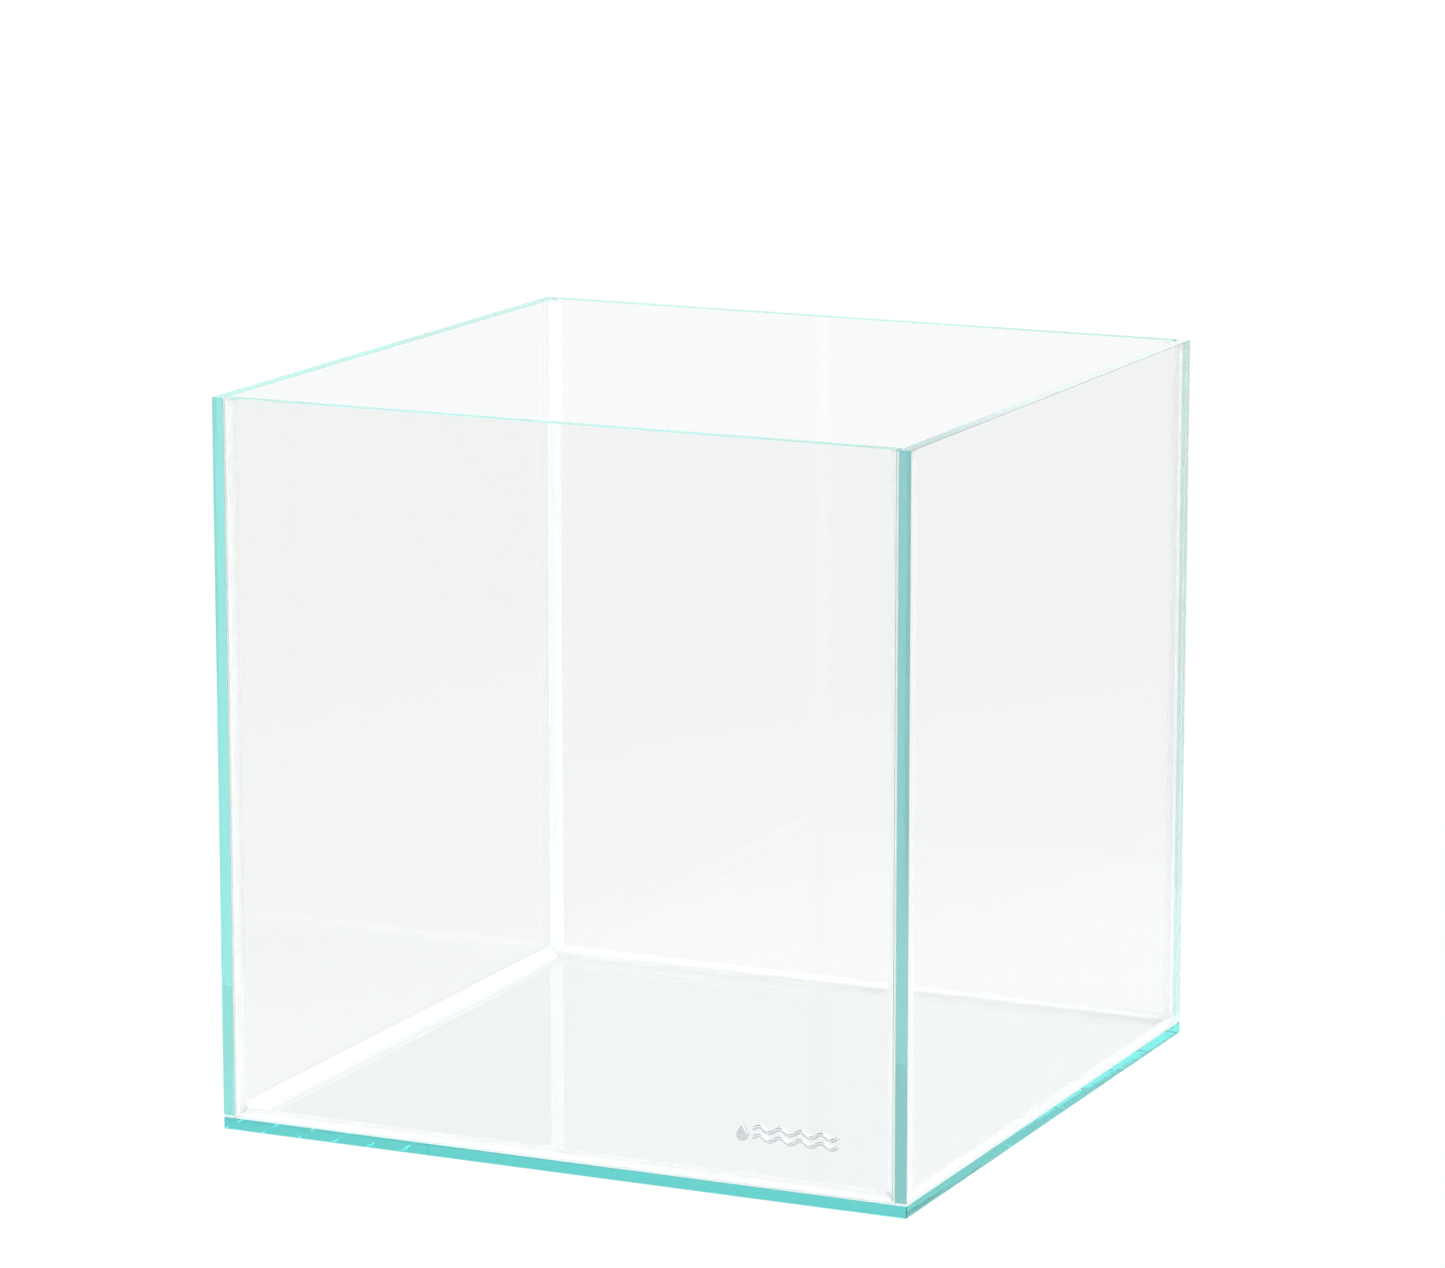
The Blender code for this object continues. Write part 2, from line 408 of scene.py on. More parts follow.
@dataclass(frozen=True)
class PlatedFinish:
    """Bright plated metal, slightly clouded by handling."""

    name: str
    bright: tuple[float, float, float]
    worn: tuple[float, float, float]
    roughness: float
    relief: float
    patch_scale: float = 260.0
    wipe_scale: float = 1500.0
    wave_scale: float = 500.0
    grain: float = 0.3

    def build(self, effects: EffectLibrary) -> bpy.types.Material:
        """Makes the material.

        Args:
            effects: the shared groups.

        Returns:
            The material.
        """
        made, shader, metal = new_material(self.name)
        place = shader.add("ShaderNodeTexCoord").outputs["Object"]
        marks = shader.group(
            effects.marks,
            {"Vector": place, "Patch Scale": self.patch_scale, "Wipe Scale": self.wipe_scale},
        )
        skin = shader.group(
            effects.skin, {"Vector": place, "Wave Scale": self.wave_scale, "Grain": self.grain}
        )
        colour = shader.add(
            "ShaderNodeMix",
            {"Factor": marks.outputs["Mask"], "A": (*self.bright, 1.0), "B": (*self.worn, 1.0)},
            data_type="RGBA",
        )
        roughness = shader.math("MULTIPLY_ADD", marks.outputs["Mask"], self.roughness, self.roughness)
        bump = shader.add(
            "ShaderNodeBump", {"Height": skin.outputs["Height"], "Distance": self.relief, "Strength": 0.4}
        )
        metal.inputs["Metallic"].default_value = 1.0
        shader.link(colour.outputs["Result"], metal, "Base Color")
        shader.link(roughness, metal, "Roughness")
        shader.link(bump.outputs["Normal"], metal, "Normal")
        return made


@dataclass(frozen=True)
class PaintedFloorShade:
    """A soft-edged patch of painted shade in the floor's glow, off to one side, for the glass to reflect."""

    heading: tuple[float, float, float]  # the way to it from the middle of the tank
    near: float  # how far off it starts to grey the floor
    far: float  # how far off it is at its full grey
    darkening: float


@dataclass(frozen=True)
class SweepFinish:
    """The pale studio floor, which glows: evenly bright round the tank, with painted shade in its glow off
    to either side.
    """

    name: str = "pale_sweep"
    glow: float = 0.965
    paper: float = 0.04
    # Painted shade: the floor's glow is dimmed off to the front-left and to the right, standing in for a
    # dimmer room there.
    painted_shades: tuple[PaintedFloorShade, ...] = (
        PaintedFloorShade((-0.8545, -0.5195, 0.0), 0.30, 0.50, 0.36),
        PaintedFloorShade((0.951, 0.309, 0.0), 0.30, 0.50, 0.14),
    )

    def build(self) -> bpy.types.Material:
        """Makes the material, and returns it."""
        made, shader, paper = new_material(self.name)
        place = shader.add("ShaderNodeTexCoord").outputs["Object"]
        level: SocketOrNumber = self.glow
        # Each patch of painted shade lowers the floor's glow towards its side.
        for painted_shade in self.painted_shades:
            reach = shader.add("ShaderNodeVectorMath", {0: place, 1: painted_shade.heading}, operation="DOT_PRODUCT")
            share = shader.remap(reach.outputs["Value"], painted_shade.near, painted_shade.far, 1.0, 1.0 - painted_shade.darkening)
            level = shader.math("MULTIPLY", level, share)
        paper.inputs["Base Color"].default_value = (self.paper, self.paper, self.paper, 1.0)
        paper.inputs["Roughness"].default_value = 1.0
        paper.inputs["Specular IOR Level"].default_value = 0.0
        paper.inputs["Emission Color"].default_value = (1.0, 1.0, 1.0, 1.0)
        shader.link(level, paper, "Emission Strength")
        return made


# ---------------------------------------------------------------------------------------------
# Mesh building
# ---------------------------------------------------------------------------------------------


@dataclass(frozen=True)
class Extent:
    """The box that a solid of the frame fills."""

    low: Vector
    high: Vector

    @classmethod
    def of(cls, node: str) -> "Extent":
        """The extent of a node of the frame."""
        low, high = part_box(node)
        return cls(Vector(low), Vector(high))

    @property
    def size(self) -> Vector:
        """The box's size along X, Y and Z."""
        return self.high - self.low


def block(low: Vector, high: Vector) -> bmesh.types.BMesh:
    """A box between two corners, as a bmesh."""
    bm = bmesh.new()
    bmesh.ops.create_cube(bm, size=1.0)
    bmesh.ops.scale(bm, vec=high - low, verts=bm.verts)
    bmesh.ops.translate(bm, vec=(low + high) / 2, verts=bm.verts)
    return bm


def verts_of(geometry: list) -> list:
    """The vertices in a list of mixed geometry."""
    return [item for item in geometry if isinstance(item, bmesh.types.BMVert)]


def soften(bm: bmesh.types.BMesh, edges: list, width: float, segments: int) -> None:
    """Rounds the given edges.

    Args:
        bm: the mesh.
        edges: its edges to round.
        width: how far the rounding starts from each edge.
        segments: the number of flats that make it up.
    """
    bmesh.ops.bevel(
        bm,
        geom=edges,
        offset=width,
        offset_type="OFFSET",
        segments=segments,
        profile=0.5,
        affect="EDGES",
        material=-1,
    )


class SubAssembly:
    """A group of pieces that share a maker."""

    def place(
        self,
        name: str,
        bm: bmesh.types.BMesh,
        material: bpy.types.Material,
        replaced: tuple[str, ...] = (),
        slot: str | None = None,
        smooth_angle: float = 0.0,
    ) -> bpy.types.Object:
        """Turns a bmesh into a finished piece that rides on the tank.

        Args:
            name: the piece's name.
            bm: its mesh, in place; it is freed.
            material: its finish.
            replaced: the nodes of the frame that it stands for.
            slot: not used; it would be the record's material slot, where it stands for no node.
            smooth_angle: faces that meet at less than this are shaded as one; 0 leaves them flat.

        Returns:
            The object.
        """
        bmesh.ops.recalc_face_normals(bm, faces=bm.faces)
        mesh = bpy.data.meshes.new(name)
        bm.to_mesh(mesh)
        bm.free()
        if smooth_angle:
            mesh.shade_smooth()
            mesh.set_sharp_from_angle(angle=smooth_angle)
        mesh.materials.append(material)
        piece = bpy.data.objects.new(name, mesh)
        bpy.context.scene.collection.objects.link(piece)
        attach(piece, ROOT_BODY)
        if replaced:
            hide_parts(*replaced)
        LOG.info("%s: %d faces", name, len(mesh.polygons))
        return piece


# ---------------------------------------------------------------------------------------------
# The tank
# ---------------------------------------------------------------------------------------------


@dataclass
class GlassBox(SubAssembly):
    """The five panes."""

    effects: EffectLibrary
    wall_arris: float = 0.00012
    base_arris: float = 0.0004
    arris_flats: int = 2
    float_face: float = 0.99  # a float face's normal has more than this along the pane's thin axis
    rim_face: float = 0.5  # a rim's normal has more than this upwards
    wall_glass: GlassFinish = GlassFinish("wall_glass", (0.25, 0.886, 0.84), 4.64)
    right_glass: GlassFinish = GlassFinish("right_glass", (0.25, 0.743, 0.733), 5.4, rim_glint=1.0)
    base_glass: GlassFinish = GlassFinish("base_glass", (0.21, 0.85, 0.83), 8.6, (0.985, 0.955, 0.967))

    def build(self) -> None:
        """Makes every pane."""
        wall = self.wall_glass.build(self.effects)
        right = self.right_glass.build(self.effects)
        base = self.base_glass.build(self.effects)
        self.pane("base_panel", Thin.Z, (UP,), self.base_arris, base)
        self.pane("left_panel", Thin.X, (-UP,), self.wall_arris, wall)
        self.pane("right_panel", Thin.X, (-UP,), self.wall_arris, right)
        for end in End:
            self.pane(f"{end.name.lower()}_panel", Thin.Y, (-UP, RIGHT, -RIGHT), self.wall_arris, wall)

    def pane(
        self, node: str, thin: Thin, sealed: tuple[Vector, ...], arris: float, material: bpy.types.Material
    ) -> bpy.types.Object:
        """Makes one pane, with ground and polished edges where they are left open.

        Args:
            node: the node that it stands for, which gives its size and place.
            thin: the axis of its thickness.
            sealed: the ways that its siliconed faces look; the edges round them stay as cut.
            arris: the width of the rounding on its open edges.
            material: its glass.

        Returns:
            The pane, with the attributes cut_edge (1 on a cut edge and its arrises, 0 on the two
            float faces), rim (1 on an open edge that looks up) and across (distance from the middle
            of its thickness).
        """
        extent = Extent.of(node)
        bm = block(extent.low, extent.high)
        bm.normal_update()
        shut = [face for face in bm.faces if any(face.normal.dot(way) > FACING for way in sealed)]
        kept = {edge for face in shut for edge in face.edges}
        soften(bm, [edge for edge in bm.edges if edge not in kept], arris, self.arris_flats)
        middle = (extent.low + extent.high)[thin.value] / 2
        across = bm.verts.layers.float.new("across")
        for vert in bm.verts:
            vert[across] = vert.co[thin.value] - middle
        cut_edge = bm.faces.layers.float.new("cut_edge")
        rim = bm.faces.layers.float.new("rim")
        bm.normal_update()
        for face in bm.faces:
            face[cut_edge] = 0.0 if abs(face.normal[thin.value]) > self.float_face else 1.0
            face[rim] = face[cut_edge] if face.normal.z > self.rim_face else 0.0
        return self.place(f"{node}_glass", bm, material, (node,))


@dataclass
class SiliconeSeams(SubAssembly):
    """The structural joints between the panes and the sealing beads in the inside corners."""

    effects: EffectLibrary
    bead_hollow: float = 0.0006
    bead_flats: int = 12
    bead_stations: int = 72
    bead_wander: float = 0.02  # share by which a bead's section swells and shrinks along it
    bead_swings: tuple[tuple[float, float, float], ...] = (
        (1.0, 61.0, 0.0),
        (0.6, 143.0, 1.3),
        (0.3, 310.0, 0.4),
    )  # the swelling's waves: share, radians a metre, phase
    joint_dish: float = 0.00012
    joint_cuts: int = 3
    clear_silicone: SiliconeFinish = SiliconeFinish(
        "clear_seam_silicone", (0.97, 0.99, 0.99), (0.98, 1.0, 1.0), 0.90, 0.02, 160.0, 0.000001
    )
    bright_silicone: SiliconeFinish = SiliconeFinish(
        "bright_seam_silicone", (0.96, 0.99, 0.99), (0.99, 1.0, 1.0), 0.40, 0.10, 160.0, 0.000002
    )
    bead_silicone: SiliconeFinish = SiliconeFinish(
        "tooled_bead_silicone", (0.985, 0.99, 0.99), (0.99, 1.0, 1.0), 0.40, 0.25, 60.0, 0.00001
    )

    def build(self) -> None:
        """Makes every joint and bead."""
        seams = {
            End.FRONT: self.bright_silicone.build(self.effects),
            End.BACK: self.clear_silicone.build(self.effects),
        }
        bright = seams[End.FRONT]
        bead = self.bead_silicone.build(self.effects)
        for end in End:
            for side in Side:
                self.upright_joint(side, end, seams[end])
                self.upright_bead(side, end, bead)
            self.base_joint(f"joint_base_{end.name.lower()}", BACK * end.value, bright)
            self.base_bead_at_end(end, bead)
        for side in Side:
            self.base_joint(f"joint_base_{side.name.lower()}", RIGHT * side.value, bright)
            self.base_bead_at_side(side, bead)

    # Joints

    def dish(self, bm: bmesh.types.BMesh, outward: Vector, run: Vector) -> None:
        """Hollows the face of a joint that shows on the outside, as trimming and shrinkage leave it.

        Args:
            bm: the joint's block.
            outward: the way that the face looks.
            run: the way that the joint runs.
        """
        bm.normal_update()
        face = max(bm.faces, key=lambda item: item.normal.dot(outward))
        across = [edge for edge in face.edges if abs(self.heading(edge).dot(run)) < FACING]
        cut = bmesh.ops.subdivide_edges(bm, edges=across, cuts=self.joint_cuts, use_grid_fill=True)
        inner = verts_of(cut["geom_inner"])
        span = outward.cross(run)
        reach = [vert.co.dot(span) for vert in bm.verts]
        low, high = min(reach), max(reach)
        for vert in inner:
            share = (vert.co.dot(span) - low) / (high - low)
            vert.co -= outward * self.joint_dish * math.sin(math.pi * share)

    @staticmethod
    def heading(edge: bmesh.types.BMEdge) -> Vector:
        """The unit vector along an edge."""
        return (edge.verts[1].co - edge.verts[0].co).normalized()

    def upright_joint(self, side: Side, end: End, material: bpy.types.Material) -> None:
        """The joint between a side pane and the end of the front or back pane."""
        node = f"joint_{end.name.lower()}_{side.name.lower()}"
        solid = Extent.of(node)
        side_pane = Extent.of(f"{side.name.lower()}_panel")
        end_pane = Extent.of(f"{end.name.lower()}_panel")
        outer_x = side_pane.low.x if side is Side.RIGHT else side_pane.high.x
        inner_x = end_pane.high.x if side is Side.RIGHT else end_pane.low.x
        xs = sorted((outer_x - side.value * FILM, inner_x + side.value * FILM))
        low = Vector((xs[0], solid.low.y, solid.low.z - FILM))
        high = Vector((xs[1], solid.high.y, solid.high.z))
        bm = block(low, high)
        self.dish(bm, BACK * end.value, UP)
        self.place(f"{node}_silicone", bm, material, (node,), smooth_angle=SILICONE_SMOOTH)

    def base_joint(self, node: str, outward: Vector, material: bpy.types.Material) -> None:
        """The joint between the base and the foot of a wall.

        Args:
            node: the joint that it stands for.
            outward: the way that the wall's outer face looks.
            material: its silicone.
        """
        solid = Extent.of(node)
        base = Extent.of("base_panel")
        wall = Extent.of(node.replace("joint_base_", "") + "_panel")
        low = Vector((solid.low.x, solid.low.y, base.high.z + FILM))
        high = Vector((solid.high.x, solid.high.y, wall.low.z - FILM))
        bm = block(low, high)
        self.dish(bm, outward, outward.cross(UP))
        self.place(f"{node}_silicone", bm, material, (node,), smooth_angle=SILICONE_SMOOTH)

    # Beads

    def bead(
        self,
        node: str,
        corner: Vector,
        run: Vector,
        legs: tuple[Vector, Vector],
        leg: float,
        length: float,
        mitred_far_end: bool,
        material: bpy.types.Material,
    ) -> None:
        """A tooled bead along an inside corner.

        Args:
            node: the bead that it stands for.
            corner: where the two panes and the neighbouring beads meet.
            run: the way that it runs from there.
            legs: the ways that its two legs lie, along the two panes.
            leg: how far each leg reaches.
            length: how far it runs.
            mitred_far_end: whether its far end meets neighbours too.
            material: its silicone.
        """
        u_axis, v_axis = legs
        half_chord = leg / math.sqrt(2)
        radius = (half_chord**2 + self.bead_hollow**2) / (2 * self.bead_hollow)
        sweep = 2 * math.asin(half_chord / radius)
        centre = corner + (u_axis + v_axis) * (half_chord + radius - self.bead_hollow) / math.sqrt(2)
        bm = bmesh.new()
        foot = bm.verts.new(corner)
        start = bm.verts.new(corner + u_axis * leg)
        arc = bmesh.ops.spin(
            bm, geom=[start], cent=centre, axis=v_axis.cross(u_axis), angle=sweep, steps=self.bead_flats
        )
        last = verts_of(arc["geom_last"])[0]
        bm.edges.new((foot, start))
        bm.edges.new((last, foot))
        section = bmesh.ops.contextual_create(bm, geom=bm.edges[:])["faces"]
        swept = bmesh.ops.extrude_face_region(bm, geom=section)["geom"]
        bmesh.ops.translate(bm, vec=run * length, verts=verts_of(swept))
        along = [edge for edge in bm.edges if abs(self.heading(edge).dot(run)) > FACING]
        bmesh.ops.subdivide_edges(bm, edges=along, cuts=self.bead_stations, use_grid_fill=True)
        self.wander(bm, corner, run, length)
        self.mitre(bm, corner, run, legs, length, mitred_far_end)
        bmesh.ops.translate(bm, vec=(u_axis + v_axis) * FILM, verts=bm.verts)
        self.place(f"{node}_silicone", bm, material, (node,), smooth_angle=SILICONE_SMOOTH)

    def wander(self, bm: bmesh.types.BMesh, corner: Vector, run: Vector, length: float) -> None:
        """Swells and shrinks a bead a little along its run, as a finger leaves it.

        Args:
            bm: the bead's mesh.
            corner: where it starts.
            run: the way that it runs.
            length: how far it runs.
        """
        for vert in bm.verts:
            place = vert.co - corner
            distance = place.dot(run)
            # Both ends keep their size, so that mitred neighbours meet.
            hold = math.sin(math.pi * min(max(distance / length, 0.0), 1.0))
            swing = sum(size * math.sin(distance * rate + phase) for size, rate, phase in self.bead_swings)
            most = sum(size for size, _, _ in self.bead_swings)
            across = place - run * distance
            vert.co += across * self.bead_wander * (swing / most) * hold

    def mitre(
        self,
        bm: bmesh.types.BMesh,
        corner: Vector,
        run: Vector,
        legs: tuple[Vector, Vector],
        length: float,
        far_end: bool,
    ) -> None:
        """Slopes a bead's end at 45 degrees towards both neighbours.

        Args:
            bm: the bead's mesh.
            corner: where it starts.
            run: the way that it runs.
            legs: the ways of its two legs.
            length: how far it runs.
            far_end: whether the far end is sloped too.
        """
        tolerance = length * 0.0001
        for vert in bm.verts:
            place = vert.co - corner
            distance = place.dot(run)
            slope = run * max(place.dot(legs[0]), place.dot(legs[1]))
            if distance < tolerance:
                vert.co += slope
            elif far_end and distance > length - tolerance:
                vert.co -= slope

    @staticmethod
    def inner_corner(side: Side, end: End) -> Vector:
        """Where a side pane, an end pane and the base meet inside the tank."""
        side_pane = Extent.of(f"{side.name.lower()}_panel")
        end_pane = Extent.of(f"{end.name.lower()}_panel")
        x = side_pane.low.x if side is Side.RIGHT else side_pane.high.x
        y = end_pane.low.y if end is End.BACK else end_pane.high.y
        return Vector((x, y, Extent.of("base_panel").high.z))

    @staticmethod
    def leg_of(node: str, corner: Vector, leg_axis: Vector) -> float:
        """How far a bead reaches from the corner along one of its panes.

        Args:
            node: the bead.
            corner: the inside corner that it fills.
            leg_axis: the way that the leg lies.

        Returns:
            The length of the leg.
        """
        solid = Extent.of(node)
        return max((solid.low - corner).dot(leg_axis), (solid.high - corner).dot(leg_axis))

    def upright_bead(self, side: Side, end: End, material: bpy.types.Material) -> None:
        """The bead in an upright corner, from the bottom corner to just under the rim."""
        node = f"bead_{end.name.lower()}_{side.name.lower()}"
        corner = self.inner_corner(side, end)
        legs = (RIGHT * -side.value, BACK * -end.value)
        leg = self.leg_of(node, corner, legs[0])
        length = Extent.of(node).high.z - corner.z
        self.bead(node, corner, UP, legs, leg, length, False, material)

    def base_bead_at_side(self, side: Side, material: bpy.types.Material) -> None:
        """The bead along the foot of a side pane."""
        node = f"bead_base_{side.name.lower()}"
        corner = self.inner_corner(side, End.FRONT)
        length = self.inner_corner(side, End.BACK).y - corner.y
        legs = (RIGHT * -side.value, UP)
        leg = self.leg_of(node, corner, legs[0])
        self.bead(node, corner, BACK, legs, leg, length, True, material)

    def base_bead_at_end(self, end: End, material: bpy.types.Material) -> None:
        """The bead along the foot of the front or back pane."""
        node = f"bead_base_{end.name.lower()}"
        corner = self.inner_corner(Side.LEFT, end)
        length = self.inner_corner(Side.RIGHT, end).x - corner.x
        legs = (BACK * -end.value, UP)
        leg = self.leg_of(node, corner, legs[0])
        self.bead(node, corner, RIGHT, legs, leg, length, True, material)


@dataclass
class Emblem(SubAssembly):
    """A droplet and two ripples in plated metal, each on its own film of clear adhesive."""

    effects: EffectLibrary
    edge_round: float = 0.00045  # depth that the front falls away towards the outline
    edge_fullness: float = 3.5  # the higher, the flatter the face and the tighter its rounded edge
    crown: float = 0.00015
    droplet_steps: int = 96
    ripple_waves: int = 4
    ripple_stations: int = 176
    cap_stations: int = 8
    ribs: int = 14
    stroke: float = 0.0015
    film_inset: float = 0.00022
    metal: PlatedFinish = PlatedFinish(
        "emblem_plating", (0.66, 0.67, 0.69), (0.56, 0.57, 0.59), 0.06, 0.000004
    )
    adhesive: SiliconeFinish = SiliconeFinish(
        "emblem_adhesive", (0.82, 0.84, 0.84), (0.88, 0.89, 0.89), 0.35, 0.3, 400.0, 0.00002
    )

    def build(self) -> None:
        """Makes the three raised shapes and their films."""
        metal = self.metal.build(self.effects)
        adhesive = self.adhesive.build(self.effects)
        pane_face = Extent.of("front_panel").low.y
        for node, outline in (
            ("emblem_droplet", self.droplet),
            ("emblem_ripple_upper", self.ripple),
            ("emblem_ripple_lower", self.ripple),
        ):
            solid = Extent.of(node)
            relief = outline(solid, 0.0)
            self.thicken(relief, solid.low.y, solid.high.y, self.edge_round, self.crown)
            self.place(f"{node}_plated", relief, metal, (node,), smooth_angle=METAL_SMOOTH)
            film = outline(solid, self.film_inset)
            self.thicken(film, solid.high.y, pane_face - FILM)
            self.place(f"{node}_film", film, adhesive, slot="joint_silicone")

    def droplet(self, solid: Extent, inset: float) -> bmesh.types.BMesh:
        """A drop with a round foot and a pointed top, as rings of faces.

        Args:
            solid: the extent that it fills.
            inset: how far its outline is drawn in.

        Returns:
            The faces, in the plane y = 0, with the layer out: 0 in the middle, 1 on the outline.
        """
        radius = solid.size.x / 2 - inset
        height = solid.size.z - 2 * inset
        centre = Vector(((solid.low.x + solid.high.x) / 2, 0.0, solid.low.z + inset + radius))
        tip = height - radius
        tangent = math.acos(radius / tip)
        bm = bmesh.new()
        bmesh.ops.create_grid(bm, x_segments=self.droplet_steps, y_segments=self.ribs, size=0.5)
        out = bm.verts.layers.float.new("out")
        for vert in bm.verts:
            angle = 2 * math.pi * vert.co.x
            share = math.sin(math.pi / 2 * (vert.co.y + 0.5))
            place = Vector((radius * math.sin(angle), 0.0, radius * math.cos(angle)))
            if abs(angle) < tangent:
                # Above the points of tangency, the flank runs straight to the tip.
                side = math.copysign(1.0, angle)
                flank = Vector((side * radius * math.sin(tangent), 0.0, radius * math.cos(tangent)))
                place = flank.lerp(Vector((0.0, 0.0, tip)), 1.0 - abs(angle) / tangent)
            vert[out] = share
            vert.co = centre + place * share
        bmesh.ops.remove_doubles(bm, verts=bm.verts, dist=radius / 500)
        return bm

    def ripple(self, solid: Extent, inset: float) -> bmesh.types.BMesh:
        """A wavy stroke with round ends, as a strip of faces.

        Args:
            solid: the extent that it fills.
            inset: how far its outline is drawn in.

        Returns:
            The strip, in the plane y = 0, with the layer out: 0 along its middle, 1 on its outline.
        """
        half = self.stroke / 2 - inset
        length = solid.size.x - self.stroke
        swing = (solid.size.z - self.stroke) / 2
        turn = 2 * math.pi * self.ripple_waves / length
        left = solid.low.x + self.stroke / 2
        middle = (solid.low.z + solid.high.z) / 2
        bm = bmesh.new()
        bmesh.ops.create_grid(bm, x_segments=self.ripple_stations, y_segments=self.ribs, size=0.5)
        out = bm.verts.layers.float.new("out")
        for vert in bm.verts:
            distance = self.along(vert.co.x + 0.5, length, half)
            held = min(max(distance, 0.0), length)
            over = distance - held
            offset = math.sin(math.pi * vert.co.y) * math.sqrt(max(half**2 - over**2, 0.0))
            slope = swing * turn * math.cos(turn * held)
            size = math.hypot(1.0, slope)
            x = held + (over - offset * slope) / size
            z = swing * math.sin(turn * held) + (over * slope + offset) / size
            vert[out] = min(math.hypot(over, offset) / half, 1.0)
            vert.co = Vector((left + x, 0.0, middle + z))
        bmesh.ops.remove_doubles(bm, verts=bm.verts, dist=half / 500)
        return bm

    def along(self, share: float, length: float, half: float) -> float:
        """Spaces a ripple's stations, closely round its ends and evenly between them.

        Args:
            share: how far along the grid a station is, from 0 to 1.
            length: the run between the centres of the round ends.
            half: half the width of the stroke.

        Returns:
            The station's distance along the run, which is below 0 or above length on the ends.
        """
        station = share * self.ripple_stations
        from_end = min(station, self.ripple_stations - station)
        if from_end < self.cap_stations:
            beyond = half * math.cos(math.pi / 2 * from_end / self.cap_stations)
            return -beyond if share < 0.5 else length + beyond
        return length * (station - self.cap_stations) / (self.ripple_stations - 2 * self.cap_stations)

    def thicken(
        self, bm: bmesh.types.BMesh, front: float, back: float, rounding: float = 0.0, crown: float = 0.0
    ) -> None:
        """Gives a flat shape its thickness, with a rounded front edge and a slightly crowned face.

        Args:
            bm: the shape, in the plane y = 0; it becomes a closed body.
            front: the y of the front's highest part.
            back: the y of its back.
            rounding: how far the front falls away at the outline.
            crown: how much the face bulges.
        """
        out = bm.verts.layers.float["out"]
        swept = bmesh.ops.extrude_face_region(bm, geom=bm.faces[:])["geom"]
        moved = set(verts_of(swept))
        for vert in bm.verts:
            share = vert[out]
            edge = 1.0 - (1.0 - share**self.edge_fullness) ** (1.0 / self.edge_fullness)
            fall = rounding * edge + crown * share**2
            vert.co.y = front + fall if vert in moved else back


# ---------------------------------------------------------------------------------------------
# The studio
# ---------------------------------------------------------------------------------------------


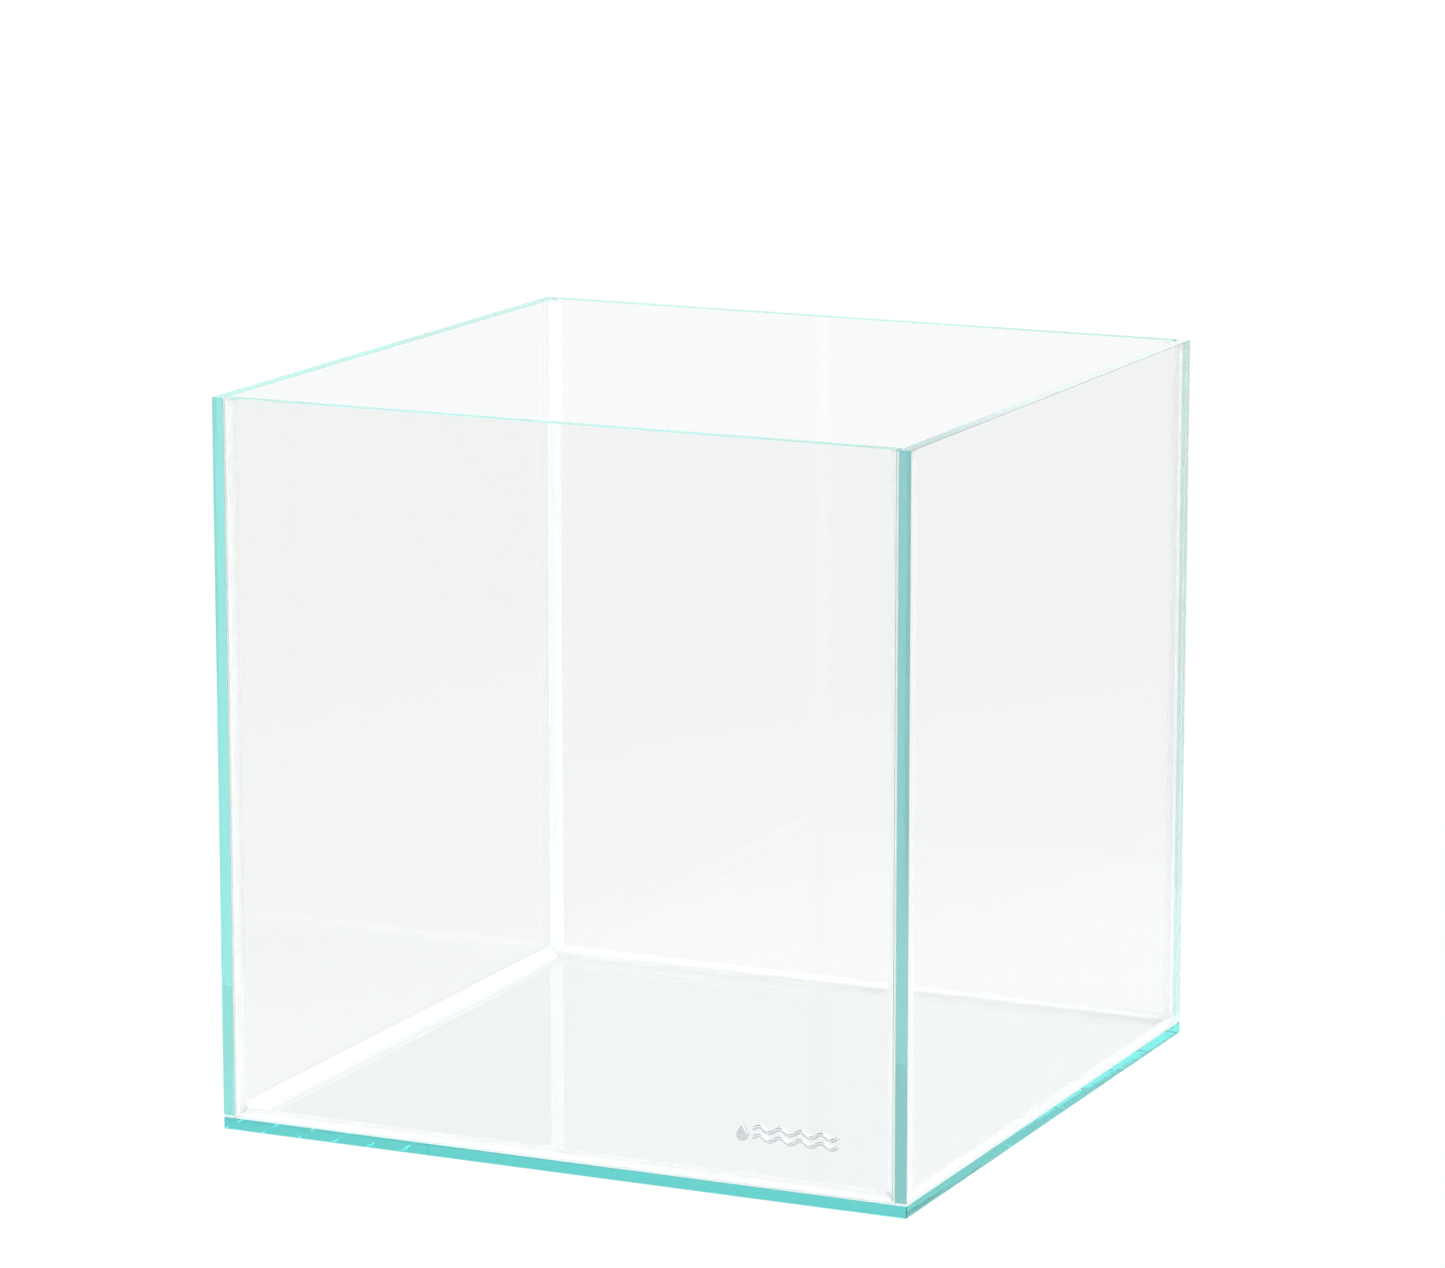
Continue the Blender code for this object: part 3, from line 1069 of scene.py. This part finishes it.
@dataclass
class Studio:
    """The pale floor, the soft light and the camera."""

    floor_radius: float = 14.0
    floor_drop: float = 0.0004
    floor_sides: int = 96
    camera_place: Vector = field(default_factory=lambda: Vector((1.0297, -2.2357, 0.6914)))
    camera_aim: Vector = field(default_factory=lambda: Vector((0.0, 0.0071, 0.1881)))
    lens: float = 152.4
    sensor: float = 36.0
    horizon: float = 1.28
    horizon_top: tuple[float, float] = (0.19, 0.235)
    backdrop: float = 0.9
    backdrop_edge: tuple[float, float] = (-0.2, 0.4)
    room: float = 1.7
    ceiling: float = 2.05
    ceiling_edge: tuple[float, float] = (0.30, 0.50)
    gantry: float = 0.05
    gantry_edge: tuple[float, float] = (0.68, 0.82)
    gantry_heading: tuple[float, float, float] = (-0.42, -0.20, 0.885)
    softbox_watts: float = 2.0
    softbox_size: tuple[float, float] = (1.2, 0.8)
    softbox_place: Vector = field(default_factory=lambda: Vector((-0.9, -0.9, 1.6)))
    bounces: int = 160
    diffuse_bounces: int = 4

    def build(self) -> None:
        """Sets up everything round the tank."""
        self.floor()
        self.surround()
        self.softbox()
        self.camera()
        self.light_paths()

    def floor(self) -> None:
        """A round floor that reaches past everything that a camera sees."""
        bm = bmesh.new()
        bmesh.ops.create_circle(bm, cap_ends=True, radius=self.floor_radius, segments=self.floor_sides)
        bmesh.ops.translate(bm, vec=-UP * self.floor_drop, verts=bm.verts)
        mesh = bpy.data.meshes.new("floor")
        bm.to_mesh(mesh)
        bm.free()
        mesh.materials.append(SweepFinish().build())
        floor = bpy.data.objects.new("floor", mesh)
        bpy.context.scene.collection.objects.link(floor)
        LOG.info("floor")

    def surround(self) -> None:
        """The room's light, by the way it comes from.

        A white backdrop behind has a brighter strip along its foot, the room in front and the
        ceiling are brighter still, and a dark gantry overhead gives the metal its dark edges. Each
        edge is a pair: where one level starts to turn into the next, and where it has done so.
        """
        world = bpy.data.worlds.new("studio")
        world.use_nodes = True
        shader = ShaderTree(world.node_tree)
        background = world.node_tree.nodes["Background"]
        way = shader.add("ShaderNodeTexCoord").outputs["Generated"]
        axes = shader.add("ShaderNodeSeparateXYZ", {0: way}).outputs
        over = shader.remap(axes["Z"], *self.horizon_top, 0.0, 1.0)
        behind = shader.add("ShaderNodeMix", {"Factor": over, "A": self.horizon, "B": self.backdrop})
        low = shader.remap(axes["Y"], *self.backdrop_edge, self.room, behind.outputs["Result"])
        height = shader.remap(axes["Z"], *self.ceiling_edge, 0.0, 1.0)
        lit = shader.add("ShaderNodeMix", {"Factor": height, "A": low, "B": self.ceiling}).outputs["Result"]
        toward = shader.add(
            "ShaderNodeVectorMath", {0: way, 1: self.gantry_heading}, operation="DOT_PRODUCT"
        )
        above = shader.remap(toward.outputs["Value"], *self.gantry_edge, 0.0, 1.0)
        level = shader.add("ShaderNodeMix", {"Factor": above, "A": lit, "B": self.gantry}).outputs["Result"]
        shader.link(level, background, "Strength")
        background.inputs["Color"].default_value = (1.0, 1.0, 1.0, 1.0)
        bpy.context.scene.world = world
        LOG.info("surround")

    def softbox(self) -> None:
        """A large soft lamp above and to the left."""
        lamp = bpy.data.lights.new("softbox", "AREA")
        lamp.shape = "RECTANGLE"
        lamp.size, lamp.size_y = self.softbox_size
        lamp.energy = self.softbox_watts
        stand = bpy.data.objects.new("softbox", lamp)
        stand.location = self.softbox_place
        stand.rotation_euler = (-self.softbox_place).to_track_quat("-Z", "Y").to_euler()
        bpy.context.scene.collection.objects.link(stand)
        LOG.info("softbox")

    def camera(self) -> None:
        """A long lens to the right of the front, a little above the rim."""
        data = bpy.data.cameras.new("camera")
        data.lens = self.lens
        data.sensor_width = self.sensor
        data.sensor_fit = "HORIZONTAL"
        data.clip_start = 0.05
        data.clip_end = 60.0
        camera = bpy.data.objects.new("camera", data)
        camera.location = self.camera_place
        camera.rotation_euler = (self.camera_aim - self.camera_place).to_track_quat("-Z", "Y").to_euler()
        bpy.context.scene.collection.objects.link(camera)
        bpy.context.scene.camera = camera
        LOG.info("camera")

    def light_paths(self) -> None:
        """Lets light run the whole length of a pane, which takes many bounces, and keeps white white."""
        scene = bpy.context.scene
        scene.view_settings.view_transform = "Standard"
        cycles = scene.cycles
        cycles.max_bounces = self.bounces
        cycles.glossy_bounces = self.bounces
        cycles.transmission_bounces = self.bounces
        cycles.diffuse_bounces = self.diffuse_bounces
        cycles.caustics_reflective = True
        cycles.caustics_refractive = True
        cycles.blur_glossy = 0.0


def main() -> None:
    """Builds the tank round the frame, and the studio round the tank."""
    logging.basicConfig(level=logging.INFO, format="%(name)s: %(message)s")
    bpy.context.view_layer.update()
    Studio().build()
    effects = EffectLibrary()
    GlassBox(effects).build()
    SiliconeSeams(effects).build()
    Emblem(effects).build()


if __name__ == "__main__":
    main()
